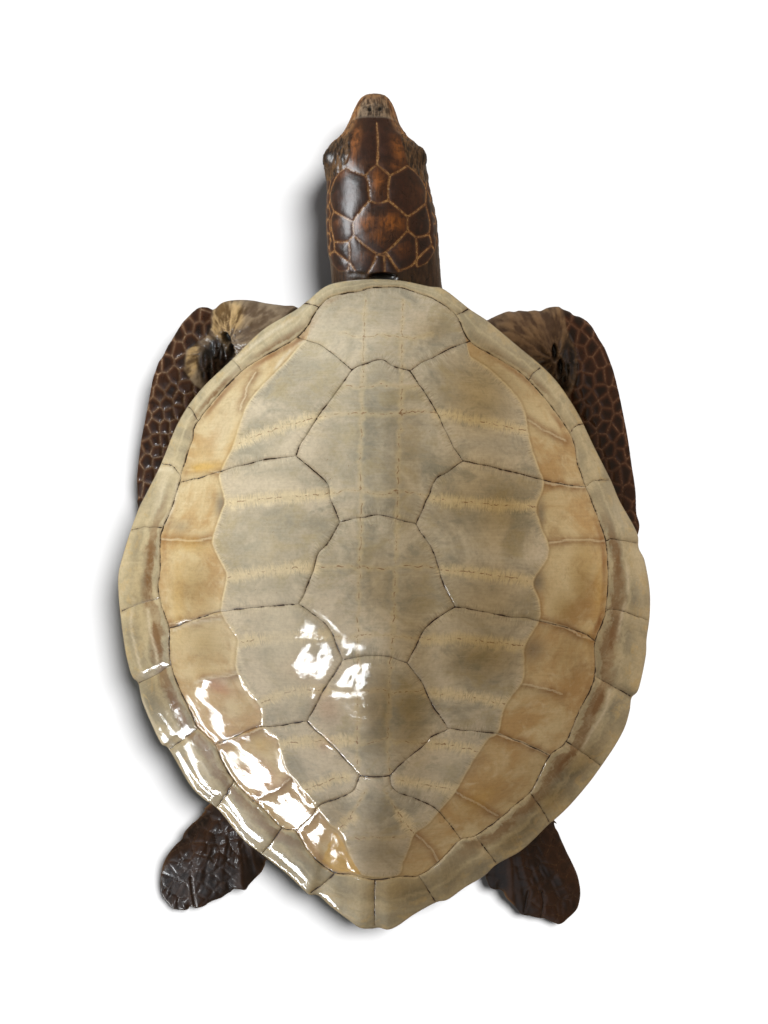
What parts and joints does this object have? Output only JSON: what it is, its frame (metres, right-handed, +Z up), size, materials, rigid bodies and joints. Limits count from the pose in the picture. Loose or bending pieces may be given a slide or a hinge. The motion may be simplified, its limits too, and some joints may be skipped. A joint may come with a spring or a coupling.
{
  "type": "preserved sea turtle with bare-bone carapace",
  "caption": "Preserved green sea turtle: lacquered bare-bone carapace over its plastron, with dried head, neck, flippers and tail, resting on its flat underside.",
  "frame": {"origin": "on the ground plane under the middle of the bounding box, at the height of the plastron's flat underside", "axes": "+Z is up, +Y points to the beak, +X is the turtle's right side"},
  "size_m": [0.4936, 0.779, 0.193],
  "materials": {
    "lacquered_bone": "bare bone under gloss lacquer, pale grey-olive plates with cream sutures and tan margins",
    "plastron_bone": "yellowed horn and bone, satin varnish",
    "head_skin": "dried scaled skin, dark chocolate scales with tan seams, gloss varnish",
    "scaled_skin": "dried scaled skin, chocolate scales outlined in tan, gloss varnish",
    "eye_glass": "black glass bead"
  },
  "bodies": {
    "root": {"carapace": "lacquered_bone", "plastron": "plastron_bone", "head_and_neck": "head_skin", "glass_eye_left": "eye_glass", "glass_eye_right": "eye_glass", "front_flipper_left": "scaled_skin", "front_flipper_right": "scaled_skin", "hind_flipper_left": "scaled_skin", "hind_flipper_right": "scaled_skin", "tail": "scaled_skin"}
  },
  "joints": []
}
